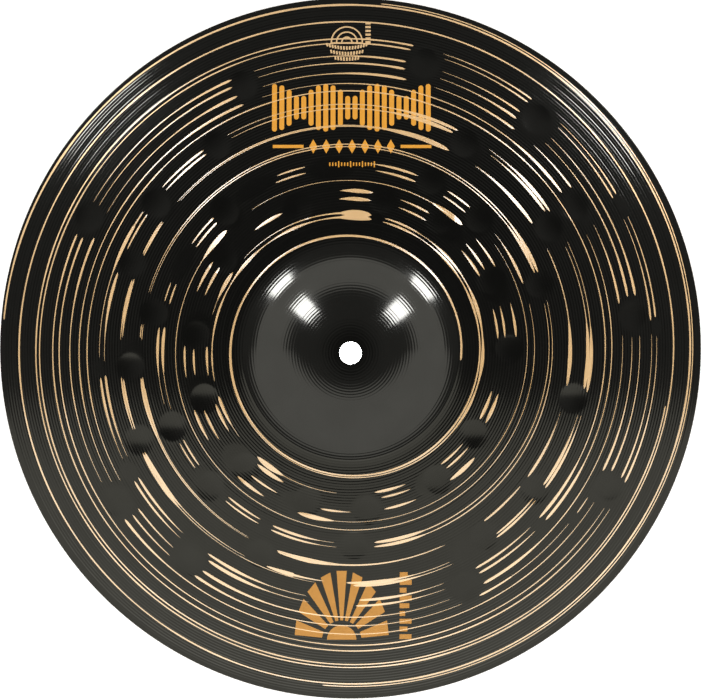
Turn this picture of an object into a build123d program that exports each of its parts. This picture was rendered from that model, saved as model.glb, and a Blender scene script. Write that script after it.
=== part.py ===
"""A 16 inch crash cymbal: one disc of hammered bronze with a dark finish and printed marks.

The frame's origin is on the cymbal's axis, at the height of the rim's lowest edge, with +Z
along the axis through the bell. Millimetres. Angles round the axis are clockwise from +Y,
as seen from above.
"""

from build123d import *

import os
from math import cos, degrees, radians, sin, sqrt

os.makedirs("parts", exist_ok=True)

# ------------------------------------------------------------- driving dimensions: disc
DIAMETER = 406.4  # 16 inches across the rim
HOLE_DIAMETER = 12.5  # passes the rod sleeve of a stand
METAL = 0.9  # thickness of the bronze
BOW_HEIGHT = 19.5  # rise of the bow's underside, from the rim to the foot of the bell
BELL_RADIUS = 67.0  # foot of the bell, where its flare meets the bow
DOME_RADIUS = 74.0  # curve of the bell's crown, on the underside
DOME_ANGLE = 40.7  # how far that curve runs down the bell's flank, in degrees
BOW_ARC = 10  # how far the bow is drawn, in degrees, before it is cut off at the rim
RIM_LAND = 0.4  # flat that dressing leaves on the lowest edge of the rim
RIM_FILLET = 0.25

# --------------------------------------------------------- driving dimensions: hammering
HAMMER_RADIUS = 120.0  # curve of the hammer's face
HAMMER_DEPTH = 0.3
HAMMER_CAP = -83  # the face is drawn from its lowest point, at -90 degrees, up to here
HAMMER_BLOWS = [  # clockwise angle and distance from the axis, as a smith places them
    # beside the bell
    (12, 89), (34, 91), (63, 90), (89, 91), (124, 85), (146, 89), (174, 92),
    (196, 90), (222, 90), (252, 88), (276, 89), (306, 90), (340, 87),
    # on the inner half of the bow
    (25, 108), (44, 106), (70.5, 115), (179, 112), (226, 112), (247, 111), (281, 115), (318, 107.8),
    # on the outer half of the bow
    (28.5, 136), (58, 134), (102, 131), (127, 133), (144, 132), (204, 128), (247, 132),
    (266, 127), (292, 135), (307, 140), (327, 141),
    # towards the edge
    (14.5, 171), (38.5, 171), (57, 153), (83, 164), (118, 169), (154, 152), (217, 154),
    (237, 161), (297, 169), (338, 165),
]  # fmt: skip

# ------------------------------------------------ driving dimensions: finish and its cuts
FINISH = 0.16  # the dark finish, drawn thicker than the real coat
FINISH_SEAM_RADIUS = 62.0  # where the finish of the bell gives way to that of the bow
UNDER_MARGIN = 3.0  # bare bronze inside the rim, below, where the cymbal rests
HOLE_MARGIN = 0.8  # bare bronze round the hole, below, where the washer wears the finish off
CUT_WIDTH = 0.6  # a lathe cut lays the bronze bare
CUTS = {  # clockwise angle and radius where the tool enters, pitch, and number of turns
    "close": (-85, 201.6, 10.15, 13.5),
    "rim": (5, 200.7, 10.15, 0.5),
}

# --------------------------------------------------- driving dimensions: printed marks
INK = 0.12  # drawn thicker than real ink
TITLE_X, TITLE_Y = 0.5, 139.5
TITLE_BARS = 22
TITLE_PITCH = 4.2
TITLE_BAR_WIDTH = 2.8
TITLE_HEIGHT = 27.5
TITLE_SWELLS = 3
TITLE_LOWEST = 0.35  # the shortest bar, as a share of the tallest
RULES_X, RULES_Y = 0.9, 117.2
RULE_OFFSET = 36.6
RULE_LENGTH = 17.6
RULE_WIDTH = 1.8
LOZENGES = 7
LOZENGE_PITCH = 7.4
LOZENGE_WIDTH = 4.6
LOZENGE_HEIGHT = 8.0
SIZE_X, SIZE_Y = 0.9, 107.0
SIZE_TICKS = 16  # one for each inch across the rim
SIZE_PITCH = 1.7
SIZE_TICK = (0.7, 3.4)
SIZE_SHORT_TICK = (0.7, 2.0)
SIZE_GROUP = 4  # every fourth tick is a long one
EMBLEM_X, EMBLEM_Y = -5.1, -167.6
EMBLEM_HUB = 8.5
EMBLEM_RAYS = 9
EMBLEM_RAY_START = 11.5
EMBLEM_SIZE = (27.3, 41.0)  # half width and height of the oval that the rays reach
EMBLEM_RAY_SHARE = 0.62  # of the angle from one ray to the next
SIDE_X, SIDE_Y = 28.4, -147.5
SIDE_BARS = (6.9, 4.6, 6.9, 3.2, 5.6, 6.9, 3.9, 6.9, 4.6)
SIDE_PITCH = 4.6
SIDE_BAR_WIDTH = 2.9
STAMP_X, STAMP_Y = -2.1, 177.4
STAMP_RINGS = (9.3, 6.3, 3.3)
STAMP_LINE = 0.8
STAMP_SIDE_X = 8.6
STAMP_SIDE_BARS = 6
STAMP_SIDE_PITCH = 2.2
STAMP_SIDE_BAR = (3.0, 1.2)
STAMP_ARC_RADIUS = 34.0
STAMP_ARCS = {174.0: 15, 170.8: 12, 167.6: 9}  # where each lies, and its number of dashes
STAMP_DASH = (1.0, 2.0)
STAMP_DASH_PITCH = 1.65

# ------------------------------------------------------------------- derived dimensions
RIM_RADIUS = DIAMETER / 2
HOLE_RADIUS = HOLE_DIAMETER / 2
METAL_RADIUS = RIM_RADIUS - FINISH
LAND_RADIUS = METAL_RADIUS - RIM_LAND
BOW_DEPTH = (LAND_RADIUS**2 - BELL_RADIUS**2 - BOW_HEIGHT**2) / (2 * BOW_HEIGHT)
BOW_RADIUS = sqrt(LAND_RADIUS**2 + BOW_DEPTH**2)
BOW_CENTRE = Vector(0, 0, -BOW_DEPTH)  # the bow is part of a sphere about this point
FOOT_SINE = BELL_RADIUS / BOW_RADIUS
FOOT_COSINE = sqrt(1 - FOOT_SINE**2)
DOME_SINE = sin(radians(DOME_ANGLE))
DOME_COSINE = cos(radians(DOME_ANGLE))
FLARE_RADIUS = (BELL_RADIUS - DOME_RADIUS * DOME_SINE) / (DOME_SINE - FOOT_SINE)
FLARE_RISE = FLARE_RADIUS * (FOOT_COSINE - DOME_COSINE)
CROWN_HEIGHT = BOW_HEIGHT + FLARE_RISE + DOME_RADIUS * (1 - DOME_COSINE)
FINISH_TOP = METAL + FINISH
INK_TOP = FINISH_TOP + INK
TALL = 2 * CROWN_HEIGHT  # reaches past the cymbal, above and below
LOWER_HALF = (Align.CENTER, Align.MAX)  # puts a rectangle below its place


def around(angle, radius):
    """The point at a clockwise angle from +Y, and at a distance from the axis."""
    return (radius * sin(radians(angle)), radius * cos(radians(angle)))


# -------------------------------------------------------------------- the cymbal's curve
def curve(height):
    """Draw the section from the crown to past the rim, at a height above the underside.

    The crown, the flare at the foot of the bell and the bow are tangent arcs. The arcs at
    every height are concentric, so a layer between two heights has one thickness.
    """
    crown = (0, CROWN_HEIGHT + height)
    dome = JernArc(crown, (1, 0), DOME_RADIUS + height, -DOME_ANGLE)
    turn = DOME_ANGLE - Vector(1, 0).get_angle(Vector(FOOT_COSINE, FOOT_SINE))
    flare = JernArc(dome @ 1, dome % 1, FLARE_RADIUS - height, turn)
    bow = JernArc(flare @ 1, flare % 1, BOW_RADIUS + height, -BOW_ARC)
    return dome @ 0, bow @ 1


def section(bottom, top, inner, outer, lowest=-TALL):
    """The outline of a layer between two heights above the underside, cut off square."""
    with BuildSketch() as outline:
        with BuildLine():
            upper_start, upper_end = curve(top)
            lower_start, lower_end = curve(bottom)
            Line(upper_start, lower_start)
            Line(upper_end, lower_end)
        make_face()
        with BuildLine():
            Polyline((inner, lowest), (outer, lowest), (outer, TALL), (inner, TALL), close=True)
        make_face(mode=Mode.INTERSECT)
    return outline.sketch


def rounded(outline, radius):
    """The same outline with the upper corner at the rim rounded."""
    with BuildSketch() as smooth:
        add(outline)
        rim_corners = smooth.vertices().group_by(Axis.X)[-1]
        fillet(rim_corners.sort_by(Axis.Y)[-1], radius)
    return smooth.sketch


def layer(bottom, top, inner, outer):
    """A ring of one thickness that follows the cymbal's curve."""
    with BuildPart() as ring:
        with BuildSketch(Plane.XZ):
            add(section(bottom, top, inner, outer))
        revolve(axis=Axis.Z)
    return ring.part


# ------------------------------------------------------------------------- the bronze disc
def blow(angle, radius):
    """Where the hammer's round face stands, square to the bow, at the bottom of a blow."""
    reach = BOW_RADIUS + METAL + HAMMER_RADIUS - HAMMER_DEPTH
    lean_sine = radius / (BOW_RADIUS + METAL)
    lean = Vector(*around(angle, lean_sine), sqrt(1 - lean_sine**2))
    return Plane(BOW_CENTRE + lean * reach, z_dir=lean)


blows = [blow(angle, radius) for angle, radius in HAMMER_BLOWS]

with BuildPart() as bronze_disc:
    with BuildSketch(Plane.XZ):
        add(rounded(section(0, METAL, HOLE_RADIUS, METAL_RADIUS, lowest=0), RIM_FILLET))
    revolve(axis=Axis.Z)
    with Locations(*blows):
        Sphere(HAMMER_RADIUS, arc_size2=HAMMER_CAP, align=None, mode=Mode.SUBTRACT)


# ------------------------------------------------------------------------ the dark finish
def spiral_strip(angle, radius, pitch, turns):
    """The tool's path through the finish: it winds inwards in half circles on two centres."""
    start = Plane((0, 0, -TALL), x_dir=(*around(angle + 90, 1), 0))
    with BuildSketch(start) as strip:
        for half in range(round(2 * turns)):
            side = 1 - 2 * (half % 2)
            centre = (0, side * pitch / 4)
            path = radius - pitch / 4 - half * pitch / 2
            with BuildLine():
                outside = CenterArc(centre, path + CUT_WIDTH / 2, side * 90, -180)
                inside = CenterArc(centre, path - CUT_WIDTH / 2, side * 90, -180)
                Line(outside @ 0, inside @ 0)
                Line(outside @ 1, inside @ 1)
            make_face()
    return strip.sketch


with BuildPart() as dark_finish_bell:
    add(layer(METAL, FINISH_TOP, HOLE_RADIUS, FINISH_SEAM_RADIUS))

with BuildPart() as dark_finish_bow:  # it turns over the rim, halfway down the edge
    with BuildSketch(Plane.XZ):
        finish_section = section(METAL / 2, FINISH_TOP, FINISH_SEAM_RADIUS, RIM_RADIUS)
        add(rounded(finish_section, RIM_FILLET + FINISH))
    revolve(axis=Axis.Z)
    with Locations(*blows):
        Sphere(HAMMER_RADIUS - FINISH, arc_size2=HAMMER_CAP, align=None, mode=Mode.SUBTRACT)
    add(bronze_disc.part, mode=Mode.SUBTRACT)
    for entry in CUTS.values():
        extrude(spiral_strip(*entry), amount=2 * TALL, mode=Mode.SUBTRACT)

with BuildPart() as dark_finish_underside:
    add(layer(-FINISH, 0, HOLE_RADIUS + HOLE_MARGIN, RIM_RADIUS - UNDER_MARGIN))


# ---------------------------------------------------------------------- the printed marks
ink_layer = layer(FINISH_TOP, INK_TOP, FINISH_SEAM_RADIUS, RIM_RADIUS - UNDER_MARGIN)

with BuildPart() as title_print:  # a generic sound wave, three swells long
    with BuildSketch():
        for bar in range(TITLE_BARS):
            swell = abs(cos(radians(180 * TITLE_SWELLS * bar / (TITLE_BARS - 1))))
            height = TITLE_HEIGHT * (TITLE_LOWEST + (1 - TITLE_LOWEST) * swell)
            with Locations((TITLE_X + TITLE_PITCH * (bar - (TITLE_BARS - 1) / 2), TITLE_Y)):
                SlotOverall(height, TITLE_BAR_WIDTH, rotation=90)
    extrude(amount=TALL)
    add(ink_layer, mode=Mode.INTERSECT)

with BuildPart() as rules_print:  # two rules with a row of lozenges between them
    with BuildSketch():
        with Locations((RULES_X - RULE_OFFSET, RULES_Y), (RULES_X + RULE_OFFSET, RULES_Y)):
            Rectangle(RULE_LENGTH, RULE_WIDTH)
        with Locations((RULES_X, RULES_Y)):
            with GridLocations(LOZENGE_PITCH, 1, LOZENGES, 1):
                side, tip = LOZENGE_WIDTH / 2, LOZENGE_HEIGHT / 2
                Polygon((-side, 0), (0, tip), (side, 0), (0, -tip))
    extrude(amount=TALL)
    add(ink_layer, mode=Mode.INTERSECT)

with BuildPart() as size_print:  # one tick for each inch of the rim's width
    with BuildSketch():
        for tick in range(1, SIZE_TICKS + 1):
            with Locations((SIZE_X + SIZE_PITCH * (tick - (SIZE_TICKS + 1) / 2), SIZE_Y)):
                Rectangle(*(SIZE_SHORT_TICK if tick % SIZE_GROUP else SIZE_TICK))
    extrude(amount=TALL)
    add(ink_layer, mode=Mode.INTERSECT)

with BuildPart() as emblem_print:  # a fan of rays over half a disc
    with BuildSketch():
        with Locations((EMBLEM_X, EMBLEM_Y)):
            Circle(EMBLEM_HUB)
            ray_step = 180 / EMBLEM_RAYS
            for ray in range(EMBLEM_RAYS):
                middle = ray_step * (ray + 0.5)
                half = ray_step * EMBLEM_RAY_SHARE / 2
                corners = []
                for angle in (middle - half, middle + half):
                    oval = (EMBLEM_SIZE[0] * cos(radians(angle)), EMBLEM_SIZE[1] * sin(radians(angle)))
                    corners.append(oval)
                foot = [Vector(*corner).normalized() * EMBLEM_RAY_START for corner in corners]
                Polygon(foot[0], corners[0], corners[1], foot[1], align=None)
            Rectangle(2 * EMBLEM_HUB, EMBLEM_HUB, align=LOWER_HALF, mode=Mode.SUBTRACT)
    extrude(amount=TALL)
    add(ink_layer, mode=Mode.INTERSECT)

with BuildPart() as emblem_side_print:  # a column of bars beside the fan
    with BuildSketch():
        for row, length in enumerate(SIDE_BARS):
            middle_row = (len(SIDE_BARS) - 1) / 2
            with Locations((SIDE_X + length / 2, SIDE_Y + SIDE_PITCH * (row - middle_row))):
                Rectangle(length, SIDE_BAR_WIDTH)
    extrude(amount=TALL)
    add(ink_layer, mode=Mode.INTERSECT)

with BuildPart() as maker_stamp:  # half rings, a column of bars and three bowed rows of dashes
    with BuildSketch():
        for ring in STAMP_RINGS:
            with Locations((STAMP_X, STAMP_Y)):
                Circle(ring)
                Circle(ring - STAMP_LINE, mode=Mode.SUBTRACT)
        with Locations((STAMP_X, STAMP_Y)):
            width, height = 2 * STAMP_RINGS[0], STAMP_RINGS[0]
            Rectangle(width, height, align=LOWER_HALF, mode=Mode.SUBTRACT)
            Rectangle(width, STAMP_LINE, align=LOWER_HALF)
        for row in range(STAMP_SIDE_BARS):
            with Locations((STAMP_SIDE_X + STAMP_SIDE_BAR[0] / 2, STAMP_Y + STAMP_SIDE_PITCH * row)):
                Rectangle(*STAMP_SIDE_BAR)
        for y, dashes in STAMP_ARCS.items():
            for dash in range(dashes):
                turn = degrees((dash - (dashes - 1) / 2) * STAMP_DASH_PITCH / STAMP_ARC_RADIUS)
                x, rise = around(turn, STAMP_ARC_RADIUS)
                with Locations((STAMP_X + x, y + STAMP_ARC_RADIUS - rise)):
                    Rectangle(*STAMP_DASH, rotation=turn)
    extrude(amount=TALL)
    add(ink_layer, mode=Mode.INTERSECT)

# --------------------------------------------------------------------------------- export
pieces = {
    "bronze_disc": bronze_disc,
    "dark_finish_bell": dark_finish_bell,
    "dark_finish_bow": dark_finish_bow,
    "dark_finish_underside": dark_finish_underside,
    "title_print": title_print,
    "rules_print": rules_print,
    "size_print": size_print,
    "emblem_print": emblem_print,
    "emblem_side_print": emblem_side_print,
    "maker_stamp": maker_stamp,
}
for name, piece in pieces.items():
    piece.part.label = name
    export_step(piece.part, f"parts/{name}.step")
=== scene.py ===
"""The looks of a 16 inch crash cymbal with a dark finish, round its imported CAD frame.

Millimetres in the numbers below, metres in Blender. Angles round the axis are clockwise from
+Y, as seen from above, and +Z is up through the bell.
"""

import math

import bpy
import numpy as np
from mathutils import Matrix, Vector


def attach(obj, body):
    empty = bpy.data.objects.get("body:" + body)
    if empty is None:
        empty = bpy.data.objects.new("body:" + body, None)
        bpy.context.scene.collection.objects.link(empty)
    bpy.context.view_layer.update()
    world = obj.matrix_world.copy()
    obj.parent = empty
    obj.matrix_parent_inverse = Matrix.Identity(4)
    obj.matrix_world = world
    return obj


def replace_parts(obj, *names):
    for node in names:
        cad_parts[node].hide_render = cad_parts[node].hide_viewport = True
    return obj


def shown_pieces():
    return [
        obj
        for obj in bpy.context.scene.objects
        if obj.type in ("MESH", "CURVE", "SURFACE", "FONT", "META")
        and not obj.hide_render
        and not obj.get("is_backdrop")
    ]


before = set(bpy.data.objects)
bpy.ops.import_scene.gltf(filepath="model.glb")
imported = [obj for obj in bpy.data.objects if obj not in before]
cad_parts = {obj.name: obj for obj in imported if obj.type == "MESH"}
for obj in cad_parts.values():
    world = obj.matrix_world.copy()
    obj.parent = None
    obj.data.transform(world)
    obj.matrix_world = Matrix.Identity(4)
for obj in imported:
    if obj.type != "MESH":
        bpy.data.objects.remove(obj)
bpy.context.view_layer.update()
rng = np.random.default_rng(16)

MM = 0.001
BODY = "root"

# ------------------------------------------------------------------- the disc, as in the CAD
RIM_RADIUS = 203.2
HOLE_RADIUS = 6.25
METAL = 0.9
FINISH = 0.16
BOW_HEIGHT = 19.5
BELL_RADIUS = 67.0
DOME_RADIUS = 74.0
DOME_ANGLE = math.radians(40.7)
RIM_LAND = 0.4  # flat on the lowest edge of the rim
RIM_FILLET = 0.25
METAL_RADIUS = RIM_RADIUS - FINISH
LAND_RADIUS = METAL_RADIUS - RIM_LAND
BOW_DEPTH = (LAND_RADIUS**2 - BELL_RADIUS**2 - BOW_HEIGHT**2) / (2 * BOW_HEIGHT)
BOW_RADIUS = math.hypot(LAND_RADIUS, BOW_DEPTH)
FOOT_SINE = BELL_RADIUS / BOW_RADIUS
FOOT_COSINE = math.sqrt(1 - FOOT_SINE**2)
FLARE_RADIUS = (BELL_RADIUS - DOME_RADIUS * math.sin(DOME_ANGLE)) / (
    math.sin(DOME_ANGLE) - FOOT_SINE
)
FLARE_X = (DOME_RADIUS + FLARE_RADIUS) * math.sin(DOME_ANGLE)
FLARE_Z = BOW_HEIGHT + FLARE_RADIUS * FOOT_COSINE
DOME_Z = FLARE_Z - (DOME_RADIUS + FLARE_RADIUS) * math.cos(DOME_ANGLE)
FINISH_TOP = METAL + FINISH
UNDER_RADIUS = 200.2
UNDER_HOLE_RADIUS = 7.05

# where the finish is parted into pieces; the seam of bell and bow is 0.15 mm outside the CAD's
SEAM_RADIUS = 62.15
RIM_BAND_RADIUS = 199.1
UNDER_SEAM_RADIUS = 68.0
BANDS = 6

FINISH_SINK = 0.03  # how far the finish reaches below the top of the CAD's bronze
CORE_SINK = 0.06  # how much the bronze is lowered under it, so that it never comes through
MARK_SINK = 0.06  # how far ink and lines of bronze reach down into the finish

# hammer marks that show as dents, at the CAD's places: clockwise angle and distance from the
# axis. They are deeper than the CAD's, and of a smaller curve, so that they show.
DENT_RADIUS = 92.0
DENT_DEPTH = 0.42
DENT_SOFTNESS = 0.008
DENTS = np.array([
    (12, 89), (34, 91), (63, 90), (89, 91), (124, 85), (146, 89), (174, 92),
    (196, 90), (222, 90), (252, 88), (276, 89), (306, 90), (340, 87),
    (25, 108), (44, 106), (70.5, 115), (179, 112), (226, 112), (247, 111), (281, 115),
    (318, 107.8), (28.5, 136), (58, 134), (102, 131), (127, 133), (144, 132), (204, 128),
    (247, 132), (266, 127), (292, 135), (307, 140), (327, 141),
    (14.5, 171), (38.5, 171), (57, 153), (83, 164), (118, 169), (154, 152), (217, 154),
    (237, 161), (297, 169), (338, 165),
])  # fmt: skip

# where the lathe's tool misses the low metal of a hammer mark, and leaves the finish whole:
# clockwise angle and radius of the middle, half the width in degrees, half the height in mm
MISSES = np.array([
    (14.5, 169, 3.5, 13.5), (39.2, 170, 3.8, 13.5), (58, 154, 5, 6), (61.8, 177, 2.2, 3.5),
    (83, 164, 4, 8.5), (85.5, 177, 1.5, 3.5), (30, 134.5, 5, 8.5), (58.5, 133.5, 4.5, 8),
    (71, 113, 4, 7.5), (26, 107, 5, 7.5), (45, 104, 5, 8.5), (13, 88, 5, 6.5),
    (38, 89.5, 8, 7), (66, 91, 7, 8.5), (89, 90, 4, 10), (11.5, 78, 2.5, 4),
    (102.5, 130.5, 3.5, 9), (118.5, 168, 3.5, 10.5), (127, 132, 2, 8.5), (148, 130.5, 7, 9),
    (154, 150, 4, 10.5), (132.5, 150, 1.5, 5), (127, 161, 1.2, 4), (123.5, 85, 5.5, 7.5),
    (148, 87.5, 7, 8), (174, 89.5, 6, 8), (178, 112, 5, 4.5), (184, 142, 6, 8.5),
    (218, 151, 4, 9.5), (237, 159, 4, 9.5), (204, 126.5, 4, 8), (241.5, 145, 2.5, 5.5),
    (247, 132, 3, 6.5), (246.5, 112, 4.5, 8.5), (226.5, 111, 6.5, 5.5), (198.5, 91.5, 7.5, 6),
    (226.5, 88.5, 7.5, 9), (199.5, 99, 1.5, 2.5), (254.5, 88.5, 6.5, 9), (268, 126, 6, 8.5),
    (206, 112, 2, 4), (266, 145, 2, 4), (296.5, 169, 3.5, 9.5), (307.5, 139, 3.5, 11.5),
    (291.5, 135.5, 3.5, 8), (327, 140.5, 3, 9), (338.5, 163, 2.5, 11.5), (281, 114, 4, 10.5),
    (318.5, 105.5, 4.5, 10), (307, 89, 4, 9.5), (278, 88.5, 7, 9), (337, 87, 3, 5.5),
    (329.5, 109, 7.5, 5.5), (354, 106, 8, 7.5), (297.5, 109, 6.5, 5.5),
])  # fmt: skip

# ------------------------------------------------------------------------ turned grooves
GROOVE = 1.6  # from one groove to the next
GROOVE_DEPTHS = (  # distance from the axis, and half of the depth from crest to valley there
    (HOLE_RADIUS, 0), (8, 0.021), (54, 0.021), (64, 0.031), (140, 0.031), (199, 0.04), (201.5, 0),
)  # fmt: skip
GROOVE_SHARES = 0.6 + 0.5 * rng.random(256)  # no two grooves are cut quite as deep
MARK_GROOVES = 0.12  # share of the depth that is left in the middle of a hammer mark
UNDER_GROOVE_DEPTH = 0.012  # half of the depth, on the underside


def graded(radius, stops):
    """A value that changes with the distance from the axis, from pairs of distance and value."""
    distances, values = zip(*stops)
    return np.interp(radius, distances, values)


def profile(radius, height):
    """Height over the rim's plane of the layer that lies `height` above the metal's underside."""
    radius = np.asarray(radius, float)
    dome_end = (DOME_RADIUS + height) * math.sin(DOME_ANGLE)
    flare_end = BELL_RADIUS + height * FOOT_SINE
    dome = DOME_Z + np.sqrt(np.maximum((DOME_RADIUS + height) ** 2 - radius**2, 0))
    flare_reach = np.maximum((FLARE_RADIUS - height) ** 2 - (FLARE_X - radius) ** 2, 0)
    bow = np.sqrt((BOW_RADIUS + height) ** 2 - radius**2) - BOW_DEPTH
    return np.where(
        radius < dome_end, dome, np.where(radius < flare_end, FLARE_Z - np.sqrt(flare_reach), bow)
    )


def around(angle, radius):
    """x and y at a clockwise angle in degrees and a distance from the axis."""
    turn = np.radians(angle)
    return radius * np.sin(turn), radius * np.cos(turn)


DENT_X, DENT_Y = around(DENTS[:, 0], DENTS[:, 1])
DENT_REACH = math.sqrt(2 * DENT_DEPTH / (1 / DENT_RADIUS + 1 / BOW_RADIUS))


def dent(x, y):
    """How far the hammer has driven the metal down, with the dent's edge a little softened."""
    lowest = np.zeros(np.broadcast(x, y).shape)
    for centre_x, centre_y in zip(DENT_X, DENT_Y):
        share = 1 - ((x - centre_x) ** 2 + (y - centre_y) ** 2) / DENT_REACH**2
        deep = DENT_DEPTH * (share + np.sqrt(share**2 + DENT_SOFTNESS)) / 2
        lowest = np.maximum(lowest, np.where(share > -3, deep, 0))
    return -lowest


def groove(radius):
    """The turned grooves: shallow on the bell, deepest towards the rim, none at its edge."""
    place = np.asarray(radius, float) / GROOVE
    share = GROOVE_SHARES[np.floor(place).astype(int) % len(GROOVE_SHARES)]
    return graded(radius, GROOVE_DEPTHS) * share * (np.cos(2 * np.pi * place) - 1)


def lathed(x, y):
    """How much of the grooves' depth the tool has cut: all of it, but little in a mark."""
    radius = np.hypot(x, y)
    angle = np.degrees(np.arctan2(x, y))
    cut = np.ones(radius.shape)
    for mark_angle, mark_radius, half_angle, half_height in MISSES:
        rise = (radius - mark_radius) / half_height
        turn = ((angle - mark_angle + 180) % 360 - 180) / half_angle
        cut = np.minimum(cut, np.clip((rise**2 + turn**2 - 0.45) / 0.6, MARK_GROOVES, 1))
    return cut


def skin(x, y, proud=0.0, groove_share=1.0):
    """Height of the finish's upper surface, or of something that lies proud of it."""
    radius = np.hypot(x, y)
    ripple = groove_share * groove(radius) * lathed(x, y)
    return profile(radius, FINISH_TOP + proud) + dent(x, y) + ripple


# ------------------------------------------------------------------------------ mesh tools
SMOOTH_ANGLE = math.radians(50)


def make_mesh(name, points, quads, look, caps=()):
    """A mesh piece from points in mm, an array of quads and some larger faces."""
    corners = np.concatenate([np.asarray(quads).ravel(), *[np.asarray(c) for c in caps]])
    sizes = np.concatenate([np.full(len(quads), 4), [len(c) for c in caps]]).astype(int)
    starts = np.concatenate([[0], np.cumsum(sizes)[:-1]])
    mesh = bpy.data.meshes.new(name)
    mesh.vertices.add(len(points))
    mesh.vertices.foreach_set("co", (np.asarray(points) * MM).astype(np.float32).ravel())
    mesh.loops.add(len(corners))
    mesh.loops.foreach_set("vertex_index", corners.astype(np.int32))
    mesh.polygons.add(len(sizes))
    mesh.polygons.foreach_set("loop_start", starts.astype(np.int32))
    mesh.update(calc_edges=True)
    mesh.validate()
    mesh.shade_smooth()
    mesh.set_sharp_from_angle(angle=SMOOTH_ANGLE)
    piece = bpy.data.objects.new(name, mesh)
    bpy.context.scene.collection.objects.link(piece)
    mesh.materials.append(look)
    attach(piece, BODY)
    return piece


def revolve(name, radii, heights, follow, columns, look, ripple=None):
    """A closed section turned round the axis. follow is how far each point follows the dents."""
    turn = np.arange(columns) * 2 * np.pi / columns
    x = np.outer(radii, np.sin(turn))
    y = np.outer(radii, np.cos(turn))
    z = np.repeat(np.asarray(heights)[:, None], columns, axis=1)
    dented = np.asarray(follow) > 0
    z[dented] += np.asarray(follow)[dented, None] * dent(x[dented], y[dented])
    if ripple is not None:
        cut = np.flatnonzero(ripple)
        z[cut] += ripple[cut, None] * lathed(x[cut], y[cut])
    points = np.stack([x, y, z], axis=2).reshape(-1, 3)
    row = np.arange(len(radii))
    column = np.arange(columns)
    here = row[:, None] * columns + column[None, :]
    next_row = np.roll(here, -1, axis=0)
    quads = np.stack(
        [here, next_row, np.roll(next_row, -1, axis=1), np.roll(here, -1, axis=1)], axis=2
    ).reshape(-1, 4)
    return make_mesh(name, points, quads[:, ::-1], look)


def shell(name, inner, outer, per_groove, columns):
    """A band of the dark finish, grooved above, from one radius to another."""
    steps = round((outer - inner) / GROOVE * per_groove)
    top = np.linspace(inner, outer, steps + 1)
    bottom = np.linspace(outer, inner, max(3, steps // 12))
    radii = np.concatenate([top, bottom])
    heights = np.concatenate([profile(top, FINISH_TOP), profile(bottom, METAL - FINISH_SINK)])
    ripple = np.concatenate([groove(top), np.zeros(len(bottom))])
    follow = np.ones(len(radii))
    return revolve(name, radii, heights, follow, columns, FINISH_LOOK, ripple)


# ------------------------------------------------------------------------------- materials
def material(name):
    """A new material with its nodes, links and shader."""
    made = bpy.data.materials.new(name)
    made.use_nodes = True
    return made, made.node_tree.nodes, made.node_tree.links, made.node_tree.nodes["Principled BSDF"]


def noise(nodes, links, scale, detail=3.0):
    """A 0 to 1 value that varies over the surface; scale is in spots per metre."""
    place = nodes.new("ShaderNodeTexCoord")
    texture = nodes.new("ShaderNodeTexNoise")
    texture.inputs["Scale"].default_value = scale
    texture.inputs["Detail"].default_value = detail
    links.new(place.outputs["Object"], texture.inputs["Vector"])
    return texture.outputs["Fac"]


def ranged(nodes, links, value, low, high):
    """Map a 0 to 1 value onto a range."""
    node = nodes.new("ShaderNodeMapRange")
    node.inputs["To Min"].default_value = low
    node.inputs["To Max"].default_value = high
    links.new(value, node.inputs["Value"])
    return node.outputs["Result"]


def tinted(nodes, links, value, low, high):
    """Map a 0 to 1 value onto two colours."""
    node = nodes.new("ShaderNodeMix")
    node.data_type = "RGBA"
    node.inputs["A"].default_value = (*low, 1)
    node.inputs["B"].default_value = (*high, 1)
    links.new(value, node.inputs["Factor"])
    return node.outputs["Result"]


def make_finish():
    """A dark coat on metal: a little light comes back, and hardly more of it at a low angle."""
    made, nodes, links, shader = material("dark_finish")
    darkest, palest = (0.0225, 0.0223, 0.0203), (0.0275, 0.0273, 0.025)
    colour = tinted(nodes, links, noise(nodes, links, 60), darkest, palest)
    links.new(colour, shader.inputs["Base Color"])
    rough = ranged(nodes, links, noise(nodes, links, 35, 5), 0.1, 0.15)
    links.new(rough, shader.inputs["Roughness"])
    shader.inputs["Metallic"].default_value = 0.9
    shader.inputs["IOR"].default_value = 1.36
    shader.inputs["Specular Tint"].default_value = (0.42, 0.42, 0.42, 1)
    return made


def make_bronze(name, low, high, rough_high):
    """Bare turned bronze under a clear glossy coat."""
    made, nodes, links, shader = material(name)
    colour = tinted(nodes, links, noise(nodes, links, 90, 4), low, high)
    links.new(colour, shader.inputs["Base Color"])
    rough = ranged(nodes, links, noise(nodes, links, 160, 4), 0.4, rough_high)
    links.new(rough, shader.inputs["Roughness"])
    shader.inputs["Metallic"].default_value = 0.3
    shader.inputs["Coat Weight"].default_value = 1.0
    shader.inputs["Coat IOR"].default_value = 2.6
    shader.inputs["Coat Roughness"].default_value = 0.16
    return made


def make_ink(name, low, high):
    """Matt printed ink."""
    made, nodes, links, shader = material(name)
    colour = tinted(nodes, links, noise(nodes, links, 250, 5), low, high)
    links.new(colour, shader.inputs["Base Color"])
    rough = ranged(nodes, links, noise(nodes, links, 300, 4), 0.42, 0.6)
    links.new(rough, shader.inputs["Roughness"])
    shader.inputs["Specular IOR Level"].default_value = 0.2
    return made


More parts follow.
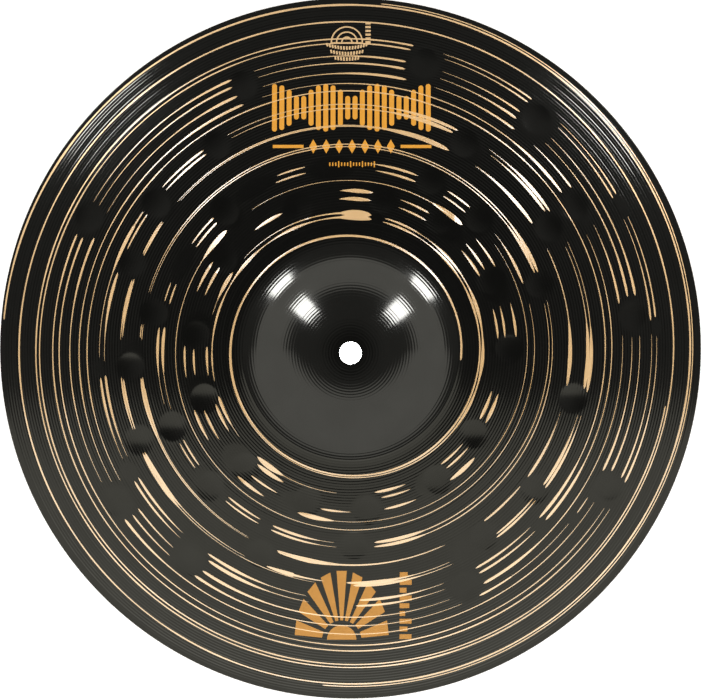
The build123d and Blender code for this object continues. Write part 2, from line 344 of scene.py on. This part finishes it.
FINISH_LOOK = make_finish()
BRONZE_LOOK = make_bronze("bronze", (0.43, 0.255, 0.09), (0.51, 0.315, 0.12), 0.52)
INKED_LOOK = make_bronze("inked_bronze", (0.52, 0.28, 0.06), (0.58, 0.33, 0.09), 0.5)
INK_LOOK = make_ink("gold_ink", (0.5, 0.21, 0.008), (0.6, 0.265, 0.016))
THIN_INK_LOOK = make_ink("thin_gold_ink", (0.36, 0.17, 0.035), (0.46, 0.22, 0.05))

# ------------------------------------------------------------------ the disc and its finish
def core():
    """The bronze disc under the finish, sunk a little where the finish covers it."""
    shoulder = METAL_RADIUS - RIM_FILLET
    bend = np.radians([30, 60, 90])
    top = np.linspace(HOLE_RADIUS, shoulder, 66)
    edge_z = profile(shoulder, METAL)
    edge_r = shoulder + RIM_FILLET * np.sin(bend)
    edge_h = edge_z - RIM_FILLET + RIM_FILLET * np.cos(bend)
    bottom = np.linspace(LAND_RADIUS, HOLE_RADIUS, 66)
    radii = np.concatenate([top, edge_r, [METAL_RADIUS], bottom])
    bare = (top < HOLE_RADIUS + 0.5) | (top > METAL_RADIUS - 1)
    sunk = np.where(bare, METAL, METAL - CORE_SINK)
    heights = np.concatenate([
        [float(profile(r, h)) for r, h in zip(top, sunk)], edge_h, [0.0], profile(bottom, 0.0),
    ])  # fmt: skip
    heights = np.maximum(heights, 0)
    follow = np.concatenate([np.ones(len(top)), np.zeros(len(radii) - len(top))])
    disc = revolve("bronze_core", radii, heights, follow, 720, BRONZE_LOOK)
    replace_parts(disc, "bronze_disc")


def finish_rim():
    """The finish turns over the rim, halfway down the edge."""
    turn_radius = 0.42
    foot = np.array([202.6, 201.4, RIM_BAND_RADIUS])
    top = np.linspace(RIM_BAND_RADIUS, RIM_RADIUS - turn_radius, 22)
    bend = np.radians([15, 30, 45, 60, 75, 90])
    start_z = float(profile(top[-1], FINISH_TOP))
    bend_r = top[-1] + turn_radius * np.sin(bend)
    bend_z = start_z - turn_radius + turn_radius * np.cos(bend)
    low = float(profile(METAL_RADIUS, METAL / 2))
    inside = float(profile(METAL_RADIUS, METAL)) - 0.3
    back_r = np.array([RIM_RADIUS, METAL_RADIUS - 0.02, METAL_RADIUS - 0.02, *foot])
    back_z = np.array([low, low, inside, *profile(foot, METAL - FINISH_SINK)])
    radii = np.concatenate([top, bend_r, back_r])
    heights = np.concatenate([profile(top, FINISH_TOP) + groove(top), bend_z, back_z])
    return revolve(
        "finish_rim", radii, heights, np.zeros(len(radii)), 720, FINISH_LOOK
    )


def underside():
    """The finish below, in two bands, with a turned surface of its own."""
    rows, grooves = 150, 37.5
    for name, inner, outer in (
        ("finish_under_bell", UNDER_HOLE_RADIUS, UNDER_SEAM_RADIUS),
        ("finish_under_bow", UNDER_SEAM_RADIUS, UNDER_RADIUS),
    ):
        below = np.linspace(outer, inner, rows)
        ripple = UNDER_GROOVE_DEPTH * np.cos(np.linspace(0, 1, rows) * np.pi * 2 * grooves)
        above = np.linspace(inner, outer, 24)
        radii = np.concatenate([below, above])
        heights = np.concatenate([profile(below, -FINISH) + ripple, profile(above, 0.02)])
        band = revolve(
            name, radii, heights, np.zeros(len(radii)), 480, FINISH_LOOK
        )
        band.data.flip_normals()
        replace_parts(band, "dark_finish_underside")


core()
bell = shell("finish_bell", HOLE_RADIUS, SEAM_RADIUS, per_groove=7, columns=360)
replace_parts(bell, "dark_finish_bell")
band_edges = np.linspace(SEAM_RADIUS, RIM_BAND_RADIUS, BANDS + 1)
for number, (inner, outer) in enumerate(zip(band_edges[:-1], band_edges[1:]), 1):
    band = shell(f"finish_bow_{number}", inner, outer, per_groove=8, columns=720)
    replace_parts(band, "dark_finish_bow")
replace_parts(finish_rim(), "dark_finish_bow")
underside()

# ------------------------------------------------------------------------ the printed marks
INK = 0.03  # how far the ink stands proud of the finish, less than in the CAD
ROW = 0.2  # between two rows of points across a mark
THIN = 0.02  # half of the width that is left where a mark ends in a point

TITLE_X, TITLE_Y = 0.5, 139.5
TITLE_BARS = 22
TITLE_PITCH = 4.2
TITLE_BAR_WIDTH = 2.8
TITLE_HEIGHT = 27.5
TITLE_SWELLS = 3
TITLE_LOWEST = 0.35  # the shortest bar, as a share of the tallest
RULES_X, RULES_Y = 0.9, 117.2
RULE_OFFSET, RULE_LENGTH, RULE_WIDTH = 36.6, 17.6, 1.8
LOZENGES = 7
LOZENGE_PITCH, LOZENGE_WIDTH, LOZENGE_HEIGHT = 7.4, 4.6, 8.0
SIZE_X, SIZE_Y = 0.9, 107.0
SIZE_TICKS = 16  # one for each inch across the rim
SIZE_PITCH, TICK_WIDTH, TICK_HEIGHT, LONG_TICK_HEIGHT = 1.7, 0.7, 2.0, 3.4
EMBLEM_X, EMBLEM_Y = -5.1, -167.6
EMBLEM_HUB = 8.5
EMBLEM_RAYS = 9
RAY_START, RAY_SIDE_REACH, RAY_TOP_REACH = 11.5, 27.3, 41.0
RAY_SHARE = 0.31  # half of a ray's width, as a share of its step
SIDE_X, SIDE_Y = 28.4, -147.5
SIDE_LENGTHS = (6.9, 4.6, 6.9, 3.2, 5.6, 6.9, 3.9, 6.9, 4.6)
SIDE_PITCH, SIDE_WIDTH = 4.6, 2.9
STAMP_X, STAMP_Y = -2.1, 177.4
STAMP_LINE = 0.8
STAMP_ARCHES = (9.3, 6.3, 3.3)
STAMP_BARS = 6
STAMP_BAR_X, STAMP_BAR_PITCH, STAMP_BAR_LENGTH, STAMP_BAR_WIDTH = 8.6, 2.2, 3.0, 1.2
DASH_ROWS = ((174.0, 15), (170.8, 12), (167.6, 9))  # height of a row's middle and its dashes
DASH_CURVE, DASH_PITCH, DASH_WIDTH, DASH_HEIGHT = 34.0, 1.65, 1.0, 2.0


def patch(left, right, bottom, top, across):
    """Rows between two edges, given as x at each y."""
    y = np.linspace(bottom, top, max(3, round((top - bottom) / ROW)))
    share = np.linspace(0, 1, across + 1)
    x = left(y)[:, None] * (1 - share) + right(y)[:, None] * share
    return x, np.repeat(y[:, None], across + 1, axis=1)


def slab(x, y):
    """Points and quads of a thin closed slab that lies on the finish, from a grid of x and y."""
    rows, columns = x.shape
    top = np.stack([x, y, skin(x, y, INK)], axis=2).reshape(-1, 3)
    low = np.stack([x, y, skin(x, y, -MARK_SINK)], axis=2).reshape(-1, 3)
    index = np.arange(rows * columns).reshape(rows, columns)
    count = rows * columns
    face = np.stack([index[:-1, :-1], index[:-1, 1:], index[1:, 1:], index[1:, :-1]], axis=2)
    upper = face.reshape(-1, 4)
    lower = upper[:, ::-1] + count
    border = np.concatenate([
        index[0, :-1], index[:-1, -1], index[-1, :0:-1], index[:0:-1, 0],
    ])  # fmt: skip
    after = np.roll(border, -1)
    side = np.stack([border, border + count, after + count, after], axis=1)
    return np.concatenate([top, low]), np.concatenate([upper, lower, side])


def join(slabs):
    """The points and quads of several slabs as one mesh's."""
    points, quads, offset = [], [], 0
    for p, q in slabs:
        points.append(p)
        quads.append(q + offset)
        offset += len(p)
    return np.concatenate(points), np.concatenate(quads)


PRINTED = []  # for each printed shape, a test of whether x and y lie in it


def upright(centre_x, centre_y, height, inset, across):
    """A shape that is mirrored in an upright line; inset is half its width at each y."""
    PRINTED.append(
        lambda x, y: (np.abs(y - centre_y) < height / 2) & (np.abs(x - centre_x) < inset(y))
    )
    grid = patch(
        lambda y: centre_x - inset(y), lambda y: centre_x + inset(y),
        centre_y - height / 2, centre_y + height / 2, across,
    )  # fmt: skip
    return slab(*grid)


def bar(centre_x, centre_y, width, height, round_ends=False):
    half = width / 2

    def inset(y):
        if not round_ends:
            return np.full_like(y, half)
        over = np.maximum(np.abs(y - centre_y) - (height / 2 - half), 0)
        return np.sqrt(np.maximum(half**2 - over**2, THIN**2))

    return upright(centre_x, centre_y, height, inset, max(2, round(width / 0.7)))


def lozenge(centre_x, centre_y, width, height):
    def inset(y):
        return np.maximum(width / 2 * (1 - 2 * np.abs(y - centre_y) / height), THIN)

    return upright(centre_x, centre_y, height, inset, 6)


def quad_patch(a, b, c, d, along, across):
    """A grid over a four-cornered patch."""
    u = np.linspace(0, 1, along + 1)[:, None]
    v = np.linspace(0, 1, across + 1)[None, :]
    grid = [
        (1 - u) * (1 - v) * a[i] + (1 - u) * v * b[i] + u * v * c[i] + u * (1 - v) * d[i]
        for i in (0, 1)
    ]
    corners = [a, b, c, d]

    def inside(x, y):
        found = np.ones(np.shape(x), bool)
        for (x0, y0), (x1, y1) in zip(corners, corners[1:] + corners[:1]):
            found &= (x1 - x0) * (y - y0) - (y1 - y0) * (x - x0) > 0
        return found

    PRINTED.append(inside)
    return slab(*grid)


def arch(centre_x, centre_y, inner, outer):
    """The upper half of a ring."""
    step = 0.3
    along = max(8, round(math.radians(180) * outer / step))
    angle = np.radians(np.linspace(0, 180, along + 1))[:, None]
    radius = np.linspace(inner, outer, max(2, round((outer - inner) / step)) + 1)[None, ::-1]
    return slab(centre_x + radius * np.cos(angle), centre_y + radius * np.sin(angle))


def printed(name, slabs, look, node):
    """One piece of all the slabs, in place of a CAD node."""
    points, quads = join(slabs)
    piece = make_mesh(name, points, quads, look)
    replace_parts(piece, node)


def title():
    middle = (TITLE_BARS - 1) / 2
    for number in range(TITLE_BARS):
        swell = abs(math.cos(math.pi * TITLE_SWELLS * number / (TITLE_BARS - 1)))
        height = TITLE_HEIGHT * (TITLE_LOWEST + (1 - TITLE_LOWEST) * swell)
        yield bar(TITLE_X + TITLE_PITCH * (number - middle), TITLE_Y, TITLE_BAR_WIDTH, height, True)


def rules():
    for side in (-1, 1):
        yield bar(RULES_X + side * RULE_OFFSET, RULES_Y, RULE_LENGTH, RULE_WIDTH)
    for number in range(LOZENGES):
        x = RULES_X + LOZENGE_PITCH * (number - (LOZENGES - 1) / 2)
        yield lozenge(x, RULES_Y, LOZENGE_WIDTH, LOZENGE_HEIGHT)


def ticks():
    for number in range(1, SIZE_TICKS + 1):
        x = SIZE_X + SIZE_PITCH * (number - (SIZE_TICKS + 1) / 2)
        yield bar(x, SIZE_Y, TICK_WIDTH, TICK_HEIGHT if number % 4 else LONG_TICK_HEIGHT)


def emblem():
    """Half a disc with a fan of rays over it, whose ends lie on an ellipse."""
    yield arch(EMBLEM_X, EMBLEM_Y, 0.05, EMBLEM_HUB)
    PRINTED.append(
        lambda x, y: (np.hypot(x - EMBLEM_X, y - EMBLEM_Y) < EMBLEM_HUB) & (y > EMBLEM_Y)
    )
    centre = np.array([EMBLEM_X, EMBLEM_Y])
    step = 180 / EMBLEM_RAYS
    for ray in range(EMBLEM_RAYS):
        ends = []
        for angle in (step * (ray + 0.5 - RAY_SHARE), step * (ray + 0.5 + RAY_SHARE)):
            turn = math.radians(angle)
            ends.append(np.array([RAY_SIDE_REACH * math.cos(turn), RAY_TOP_REACH * math.sin(turn)]))
        feet = [corner / np.linalg.norm(corner) * RAY_START for corner in ends]
        corners = [centre + place for place in (feet[0], ends[0], ends[1], feet[1])]
        yield quad_patch(*corners, 14, 110)


def emblem_side():
    middle = (len(SIDE_LENGTHS) - 1) / 2
    for row, length in enumerate(SIDE_LENGTHS):
        y = SIDE_Y + SIDE_PITCH * (row - middle)
        yield bar(SIDE_X + length / 2, y, length, SIDE_WIDTH)


def stamp():
    """Arches on a base line, a column of bars, and curved rows of dashes below."""
    for radius in STAMP_ARCHES:
        yield arch(STAMP_X, STAMP_Y, radius - STAMP_LINE, radius)
    yield bar(STAMP_X, STAMP_Y - STAMP_LINE / 2, 2 * STAMP_ARCHES[0], STAMP_LINE)
    for row in range(STAMP_BARS):
        x = STAMP_BAR_X + STAMP_BAR_LENGTH / 2
        yield bar(x, STAMP_Y + STAMP_BAR_PITCH * row, STAMP_BAR_LENGTH, STAMP_BAR_WIDTH)
    for row_y, dashes in DASH_ROWS:
        for dash in range(dashes):
            turn = (dash - (dashes - 1) / 2) * DASH_PITCH / DASH_CURVE
            x = STAMP_X + DASH_CURVE * math.sin(turn)
            y = row_y + DASH_CURVE - DASH_CURVE * math.cos(turn)
            centre = np.array([x, y])
            across = np.array([math.cos(turn), -math.sin(turn)]) * DASH_WIDTH / 2
            up = np.array([math.sin(turn), math.cos(turn)]) * DASH_HEIGHT / 2
            low_left, low_right = centre - across - up, centre + across - up
            high_right, high_left = centre + across + up, centre - across + up
            yield quad_patch(low_left, low_right, high_right, high_left, 10, 4)


printed("title_wave", title(), INK_LOOK, "title_print")
printed("rules_row", rules(), INK_LOOK, "rules_print")
printed("size_ticks", ticks(), INK_LOOK, "size_print")
printed("emblem_rays", emblem(), THIN_INK_LOOK, "emblem_print")
printed("emblem_side_bars", emblem_side(), THIN_INK_LOOK, "emblem_side_print")
inked_shapes = list(PRINTED)
printed("stamp_marks", stamp(), BRONZE_LOOK, "maker_stamp")


def under_ink(x, y):
    """Whether a place is inside the outline of a printed shape."""
    found = np.zeros(len(x), bool)
    for test in inked_shapes:
        found |= test(x, y)
    return found


# --------------------------------------------------------------- the bronze that shows through
STEP = 0.8  # from one row of points to the next, along a line
ACROSS = 6  # points across a line
LINE_PROUD = 0.035  # how far a line stands proud of the finish
LINE_GROOVES = 0.6  # the bronze's grooves, as a share of the finish's
THINNEST = 0.12  # a line that is narrower doesn't show
FAR = 400.0  # further than any mark
SWELL_WIDTHS = (  # distance from the axis, and how much wider a line swells there
    (70, 1.8), (80, 2.8), (95, 2.5), (110, 1.7), (118, 1.3), (130, 1.7), (150, 1.4), (170, 0.7),
    (186, 0.0),
)  # fmt: skip
SWELL_LENGTHS = ((80, 18), (100, 22), (125, 38), (170, 44))
SWELL_BLUNTNESS = ((140, 0), (165, 1))  # 0 swells in the middle, 1 at the mark
RECOVERY = 60  # mm past a mark after which a line has its full width again
LUMPS = 15  # swellings on one turn of the lines beside the bell
LUMP_START = 10  # degrees
LUMP_WIDTHS = ((74, 0), (75, 1), (78.5, 1), (80, 0))
CLOSE_WIDTHS = (  # distance from the axis, and the width of the close spiral's line
    (60, 1.15), (72.5, 1.1), (74, 0.6), (80, 0.5), (84, 0.0), (93, 0.0), (97, 0.35), (118, 0.5),
    (165, 0.55), (185, 0.7), (195, 0.8), (200, 0.95),
)  # fmt: skip
WIDE_WIDTHS = (  # and of the wide spiral's
    (60, 0), (68, 0.2), (76, 0.6), (82, 0.5), (84, 0), (93, 0), (100, 0.3), (118, 0.5),
    (165, 0.55), (185, 0.65),
)  # fmt: skip
BELL_RING_RADIUS = 73  # nearer the axis than this, the close spiral's line is never broken
CLOSE_START_RADIUS = 199.2  # the close spiral's, at 0 degrees on its first turn
CLOSE_PITCH, CLOSE_GROWTH = 9.85, 0.03  # mm nearer the axis on each turn, and how that grows
WIDE_START_RADIUS = 176.8  # the wide spiral's, where its first turn passes 0 degrees
WIDE_PITCH, WIDE_GROWTH = 11.5, 0.09
RIM_LINE_OFFSET = 1.5  # from the close spiral to the short line outside it
RIM_LINE_WIDTH = 0.5
DRIFT = (0.75, 1.2, 60)  # a line's width drifts between these shares, over this many points


def widths(angle, radius, base):
    """How wide the tool has laid the bronze bare: it swells towards a mark and skips over it."""
    width = base.copy()
    peak = graded(radius, SWELL_WIDTHS)
    length = graded(radius, SWELL_LENGTHS)
    bluntness = graded(radius, SWELL_BLUNTNESS)
    hidden = np.zeros(len(angle), bool)
    since = np.full(len(angle), FAR)  # how far back the last mark lies
    for mark_angle, mark_radius, half_angle, half_height in MISSES:
        rise = (radius - mark_radius) / half_height
        near = np.abs(rise) < 1
        half = np.radians(half_angle) * radius * np.sqrt(np.clip(1 - rise**2, 0, 1)) ** 0.6
        ahead = np.radians((mark_angle - angle + 180) % 360 - 180) * radius
        hidden |= near & (np.abs(ahead) < half)
        along = (ahead - half) / length  # 0 at the mark, 1 where the swelling starts
        inside = near & (along > 0) & (along < 1)
        along = np.clip(along, 0, 1)
        lens = np.sin(np.pi * along**0.85) ** 0.8
        club = np.minimum(1, along / 0.1) ** 0.5 * (1 - along) ** 1.3
        bulge = (1 - bluntness) * lens + bluntness * club
        width = np.where(inside, np.maximum(width, base + peak * bulge), width)
        behind = np.where(near & (ahead < 0), -ahead - half, FAR)
        since = np.minimum(since, np.where(behind > 0, behind, FAR))
    width *= 0.2 + 0.8 * np.clip(since / RECOVERY, 0, 1) ** 0.7
    lumps = 0.5 - 0.5 * np.cos(np.radians(angle - LUMP_START) * LUMPS)
    width += lumps * graded(radius, LUMP_WIDTHS)
    return np.where(hidden, 0, width * wander(len(width), 0.82, 1.18, 14))


def strips(name, angle, radius, width):
    """Thin strips of bronze along a line, wherever it is wide enough to show."""
    shown = width > THINNEST
    edges = np.flatnonzero(np.diff(np.concatenate([[0], shown.astype(int), [0]])))
    points, quads, caps, offset = [], [], [], 0
    share = np.linspace(-0.5, 0.5, ACROSS)
    loop = ACROSS + 2
    for start, end in zip(edges[::2], edges[1::2]):
        if end - start < 5:
            continue
        a, r, w = angle[start:end], radius[start:end], width[start:end].copy()
        taper = np.minimum(np.arange(len(w)), np.arange(len(w))[::-1]) * STEP
        w *= np.clip((taper + THINNEST) / 1.6, 0, 1) ** 0.6
        across = r[:, None] + share[None, :] * w[:, None]
        x, y = around(a[:, None], across)
        side_x, side_y = x[:, [-1, 0]], y[:, [-1, 0]]
        top = np.stack([x, y, skin(x, y, LINE_PROUD, LINE_GROOVES)], axis=2)
        low = np.stack([side_x, side_y, skin(side_x, side_y, -MARK_SINK)], axis=2)
        ring = np.concatenate([top, low], axis=1)
        count = len(w)
        index = np.arange(count * loop).reshape(count, loop) + offset
        along = np.stack([
            index[:-1], np.roll(index, -1, axis=1)[:-1], np.roll(index, -1, axis=1)[1:], index[1:],
        ], axis=2).reshape(-1, 4)  # fmt: skip
        points.append(ring.reshape(-1, 3))
        quads.append(along)
        caps += [index[0][::-1], index[-1]]
        offset += count * loop
    points = np.concatenate(points)
    quads = np.concatenate(quads)
    caps = [cap[::-1] for cap in caps]
    mesh = make_mesh(name, points, quads[:, ::-1], BRONZE_LOOK, caps).data
    mesh.materials.append(INKED_LOOK)
    middle = np.zeros(len(mesh.polygons) * 3, np.float32)
    mesh.polygons.foreach_get("center", middle)
    middle = middle.reshape(-1, 3) / MM
    inked = under_ink(middle[:, 0], middle[:, 1])
    mesh.polygons.foreach_set("material_index", inked.astype(np.int32))


def spiral(first_angle, turns, radius_at):
    """Angles and radii along a spiral that winds inwards, clockwise, in equal steps."""
    samples_per_turn = 2 * math.pi * 150 / 0.2
    turn = np.linspace(0, turns, round(turns * samples_per_turn))
    angle = first_angle + 360 * turn
    radius = radius_at(angle / 360)
    length = np.concatenate([[0], np.cumsum(np.radians(np.diff(angle)) * radius[1:])])
    even = np.arange(0, length[-1], STEP)
    return np.interp(even, length, angle), np.interp(even, length, radius)


def wander(count, low, high, reach):
    """A slow random drift between two values."""
    knots = rng.random(count // reach + 4)
    return low + (high - low) * np.interp(np.arange(count) / reach, np.arange(len(knots)), knots)


def close_spiral():
    """The lathe's line from the rim to the bell."""
    angle, radius = spiral(
        -85, 13.5, lambda n: CLOSE_START_RADIUS - CLOSE_PITCH * n - CLOSE_GROWTH * n**2
    )
    base = graded(radius, CLOSE_WIDTHS)
    base = base * wander(len(base), *DRIFT)
    width = np.where(radius < BELL_RING_RADIUS, base, widths(angle, radius, base))
    strips("lathe_line_close", angle, radius, width)


def wide_spiral():
    """A second line of a wider pitch, which crosses the first."""
    angle, radius = spiral(
        100, 9.7, lambda n: WIDE_START_RADIUS - WIDE_PITCH * (n - 1) - WIDE_GROWTH * (n - 1) ** 2
    )
    base = graded(radius, WIDE_WIDTHS)
    base = base * wander(len(base), *DRIFT)
    strips("lathe_line_wide", angle, radius, widths(angle, radius, base))


def rim_line():
    """A short line just outside the close spiral's first turn."""
    angle, radius = spiral(
        5, 0.5, lambda n: CLOSE_START_RADIUS - CLOSE_PITCH * n + RIM_LINE_OFFSET
    )
    strips("lathe_line_rim", angle, radius, np.full(len(angle), RIM_LINE_WIDTH))


close_spiral()
wide_spiral()
rim_line()

# ---------------------------------------------------------------------------------- stage
def floor_look():
    made, _, _, shader = material("floor")
    shader.inputs["Base Color"].default_value = (0.86, 0.86, 0.86, 1)
    shader.inputs["Roughness"].default_value = 0.9
    shader.inputs["Specular IOR Level"].default_value = 0.1
    shader.inputs["Emission Color"].default_value = (1, 1, 1, 1)
    shader.inputs["Emission Strength"].default_value = 0.3
    return made


FLOOR_SIZE = 12
FLOOR_DROP = 0.0002  # keeps the floor clear of the rim's land
bpy.ops.mesh.primitive_plane_add(size=FLOOR_SIZE, location=(0, 0, -FLOOR_DROP))
floor = bpy.context.object
floor.name = "floor"
floor.data.materials.append(floor_look())
floor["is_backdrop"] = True


def panel(name, width, height, radiance):
    """A rectangular lamp of a size in metres, and of the radiance that it shows."""
    light = bpy.data.lights.new(name, "AREA")
    light.shape = "RECTANGLE"
    light.size, light.size_y = width, height
    light.energy = radiance * math.pi * width * height
    lamp = bpy.data.objects.new(name, light)
    bpy.context.scene.collection.objects.link(lamp)
    return lamp


def aim(lamp, azimuth, elevation, distance, target=(0, 0, 0.02)):
    """Put a lamp at a clockwise angle from +Y, and turn it to a place in metres."""
    turn, rise = math.radians(azimuth), math.radians(elevation)
    level = math.cos(rise)
    away = Vector((math.sin(turn) * level, math.cos(turn) * level, math.sin(rise)))
    lamp.location = Vector(target) + away * distance
    lamp.rotation_mode = "QUATERNION"
    lamp.rotation_quaternion = away.to_track_quat("Z", "Y")


def light_only(lamp, test):
    """Link a lamp to the pieces whose name passes the test."""
    lit = bpy.data.collections.new("lit_by_" + lamp.name)
    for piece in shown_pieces():
        if test(piece.name):
            lit.objects.link(piece)
    lamp.light_linking.receiver_collection = lit


for side, azimuth in (("right", 50.4), ("left", -48)):
    box = panel(f"softbox_{side}", 0.34, 0.47, radiance=54)
    aim(box, azimuth, elevation=33.3, distance=1.4)
    box.data.color = (0.96, 0.97, 1)
    box.visible_diffuse = False

overhead = panel("overhead_fill", 2.4, 2.4, radiance=1.3)
aim(overhead, azimuth=0, elevation=90, distance=2.4)
overhead.visible_glossy = False

# a small light under the bell, so that the floor shows pale through the hole
under = panel("hole_fill", 0.05, 0.05, radiance=20)
aim(under, azimuth=0, elevation=90, distance=0.026, target=(0, 0, 0))
under.visible_camera = False
under.visible_glossy = False

# glints on the bare bronze alone, from lamps near the zenith that the finish doesn't show
for side, azimuth in (("right", 48), ("left", -46)):
    glare = panel(f"glare_{side}", 0.18, 0.5, radiance=8)
    aim(glare, azimuth, elevation=67.5, distance=1.46)
    glare.visible_diffuse = False
    light_only(glare, lambda name: name.startswith(("lathe_line", "stamp")))

# a dim panel over the near side, which the bell, the bronze core and the emblem's ink don't show
near_panel = panel("bow_panel", 4.0, 2.2, radiance=1.6)
near_panel.location = (0, -0.27 - near_panel.data.size_y / 2, 1.5)
near_panel.data.color = (1, 0.975, 0.88)
near_panel.visible_diffuse = False
light_only(near_panel, lambda name: not name.startswith(("finish_bell", "bronze_", "emblem")))

# the surroundings' bands, by the sine of their elevation
HORIZON_EDGE = 0.54  # upper edge of the pale horizon, on the far side
HORIZON_RISE = 0.28  # how much higher that edge is on the near side
HORIZON_SOFTNESS = 0.06
HORIZON_GLOW = 2.1
ZENITH_EDGE = 0.9  # where the room starts to get darker towards the zenith
ZENITH_SOFTNESS = 0.07
UPPER_GLOW = 0.3
ROOM_GLOW = 0.05


def surroundings():
    """A dim room, darker at the zenith, with a pale horizon that is higher on the near side."""
    world = bpy.data.worlds.new("surroundings")
    world.use_nodes = True
    bpy.context.scene.world = world
    nodes, links = world.node_tree.nodes, world.node_tree.links
    background = nodes["Background"]
    place = nodes.new("ShaderNodeTexCoord")
    parts = nodes.new("ShaderNodeSeparateXYZ")
    links.new(place.outputs["Generated"], parts.inputs["Vector"])

    def maths(operation, *values):
        node = nodes.new("ShaderNodeMath")
        node.operation = operation
        for number, value in enumerate(values):
            if isinstance(value, (int, float)):
                node.inputs[number].default_value = value
            else:
                links.new(value, node.inputs[number])
        return node.outputs["Value"]

    def limited(value):
        return maths("MINIMUM", maths("MAXIMUM", value, 0.0), 1.0)

    x, y, z = (parts.outputs[axis] for axis in "XYZ")
    across = maths("SQRT", maths("ADD", maths("MULTIPLY", x, x), maths("MULTIPLY", y, y)))
    nearness = maths("DIVIDE", maths("MULTIPLY", y, -1.0), maths("MAXIMUM", across, 0.001))
    near = maths("MAXIMUM", nearness, 0.0)
    edge = maths("ADD", maths("MULTIPLY", maths("SQRT", near), HORIZON_RISE), HORIZON_EDGE)
    low = limited(maths("DIVIDE", maths("SUBTRACT", edge, z), HORIZON_SOFTNESS))
    zenith = limited(maths("DIVIDE", maths("SUBTRACT", z, ZENITH_EDGE), ZENITH_SOFTNESS))
    high = maths("SUBTRACT", 1.0, zenith)
    upper = maths("ADD", maths("MULTIPLY", high, UPPER_GLOW), ROOM_GLOW)
    glow = maths("ADD", maths("MULTIPLY", low, HORIZON_GLOW), upper)
    background.inputs["Color"].default_value = (1, 0.985, 0.95, 1)
    links.new(glow, background.inputs["Strength"])


surroundings()

# --------------------------------------------------------------------------------- camera
LEAN = math.radians(2.1)  # the camera stands a little towards the stamp
FOCAL = 135.0
SENSOR = 36.0
VIEW_WIDTH = 406.6  # mm across the picture, at the height of the rim
camera_data = bpy.data.cameras.new("camera")
camera_data.lens = FOCAL
camera_data.sensor_width = SENSOR
camera = bpy.data.objects.new("camera", camera_data)
reach = FOCAL / SENSOR * VIEW_WIDTH * MM
camera.location = (0, reach * math.sin(LEAN), reach * math.cos(LEAN))
camera.rotation_euler = (-LEAN, 0, 0)
bpy.context.scene.collection.objects.link(camera)
bpy.context.scene.camera = camera
bpy.context.scene.view_settings.view_transform = "Standard"
